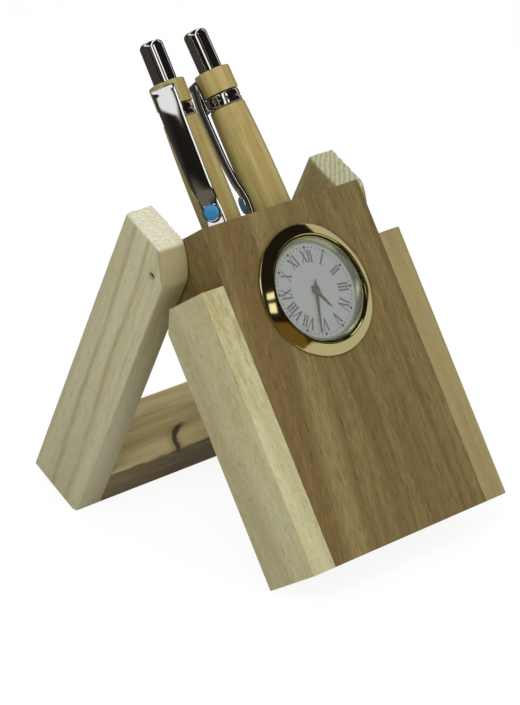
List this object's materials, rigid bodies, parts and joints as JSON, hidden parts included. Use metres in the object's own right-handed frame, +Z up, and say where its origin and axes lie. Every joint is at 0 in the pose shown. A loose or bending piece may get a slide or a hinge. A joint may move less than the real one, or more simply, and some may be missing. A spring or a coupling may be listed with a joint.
{
  "type": "pen stand",
  "caption": "Folding wooden A-frame desk stand that holds click pens in drilled bores in a leaning block, with a round insert clock in its face.",
  "frame": {"origin": "on the floor under the middle of the open stand's box", "axes": "+Z up, -Y towards the leaning board's clock face, +X towards the right-hand pen as seen from the front"},
  "size_m": [0.0726, 0.114, 0.1311],
  "materials": {
    "dark_wood": "mid-brown hardwood with long straight grain, thinly oiled",
    "pale_wood": "pale ash, sanded, rough-sawn ends",
    "tan_wood": "tan wood with a dark knot, sanded",
    "bamboo": "turned bamboo, clear lacquer",
    "gold": "polished gold plating",
    "brass": "thin stamped brass",
    "chrome": "polished chrome plating",
    "steel": "plain drawn steel",
    "clear_lens": "clear, slightly domed",
    "dial_white": "matte off-white print ground with plain numerals",
    "enamel": "glossy blue enamel",
    "black_plastic": "moulded, fine matte",
    "grey_plastic": "moulded, satin",
    "rubber": "matte ribbed rubber"
  },
  "bodies": {
    "board": {"centre_block": "dark_wood", "left_strip": "pale_wood", "right_strip": "pale_wood", "left_pivot_pin": "steel", "right_pivot_pin": "steel"},
    "rear_frame": {"left_arm": "pale_wood", "right_arm": "pale_wood", "crossbar": "tan_wood"},
    "clock_insert": {"clock_bezel": "gold", "clock_lens": "clear_lens", "clock_dial": "dial_white", "clock_housing": "black_plastic", "clock_grip_ring": "rubber", "clock_movement": "grey_plastic", "clock_battery": "steel", "clock_battery_cover": "black_plastic"},
    "minute_works": {"minute_hand": "brass", "minute_arbor": "brass", "setting_knob": "black_plastic"},
    "hour_works": {"hour_hand": "brass", "hour_pipe": "brass"},
    "left_pen": {"left_pen_barrel": "bamboo", "left_pen_upper_ring": "bamboo", "left_pen_neck_ring": "chrome", "left_pen_clip": "chrome", "left_pen_clip_button": "enamel", "left_pen_cam_sleeve": "black_plastic", "left_pen_spring": "steel", "left_pen_nose_cone": "chrome"},
    "left_clicker": {"left_pen_clicker": "chrome", "left_pen_cam_rotor": "grey_plastic", "left_pen_refill": "steel"},
    "right_pen": {"right_pen_barrel": "bamboo", "right_pen_upper_ring": "bamboo", "right_pen_neck_ring": "chrome", "right_pen_clip": "chrome", "right_pen_clip_button": "enamel", "right_pen_cam_sleeve": "black_plastic", "right_pen_spring": "steel", "right_pen_nose_cone": "chrome"},
    "right_clicker": {"right_pen_clicker": "chrome", "right_pen_cam_rotor": "grey_plastic", "right_pen_refill": "steel"}
  },
  "joints": [
    {"name": "frame_fold", "type": "hinge", "parent": "board", "child": "rear_frame", "pos_m": [0, -0.00023, 0.0784], "axis": [1, 0, 0], "range_deg": [-24, 90]},
    {"name": "clock_pull", "type": "slide", "parent": "board", "child": "clock_insert", "axis": [0, -0.866, 0.5], "range_m": [0, 0.015]},
    {"name": "minute_turn", "type": "hinge", "parent": "clock_insert", "child": "minute_works", "pos_m": [0, -0.02299, 0.07018], "axis": [0, 0.866, -0.5], "continuous": true},
    {"name": "hour_turn", "type": "hinge", "parent": "clock_insert", "child": "hour_works", "pos_m": [0, -0.02299, 0.07018], "axis": [0, 0.866, -0.5], "continuous": true},
    {"name": "left_pen_lift", "type": "slide", "parent": "board", "child": "left_pen", "axis": [0, 0.5, 0.866], "range_m": [0, 0.09]},
    {"name": "right_pen_lift", "type": "slide", "parent": "board", "child": "right_pen", "axis": [-0.0488, 0.4994, 0.865], "range_m": [0, 0.05]},
    {"name": "left_click", "type": "slide", "parent": "left_pen", "child": "left_clicker", "axis": [0, -0.5, -0.866], "range_m": [0, 0.0035], "stiffness_N_per_m": 300, "springref_m": -0.004, "deforming": ["left_pen_spring"]},
    {"name": "right_click", "type": "slide", "parent": "right_pen", "child": "right_clicker", "axis": [0.0488, -0.4994, -0.865], "range_m": [0, 0.0035], "stiffness_N_per_m": 300, "springref_m": -0.004, "deforming": ["right_pen_spring"]}
  ],
  "couplings": [
    {"joint": "hour_turn", "follows": "minute_turn", "ratio": 0.083333}
  ]
}
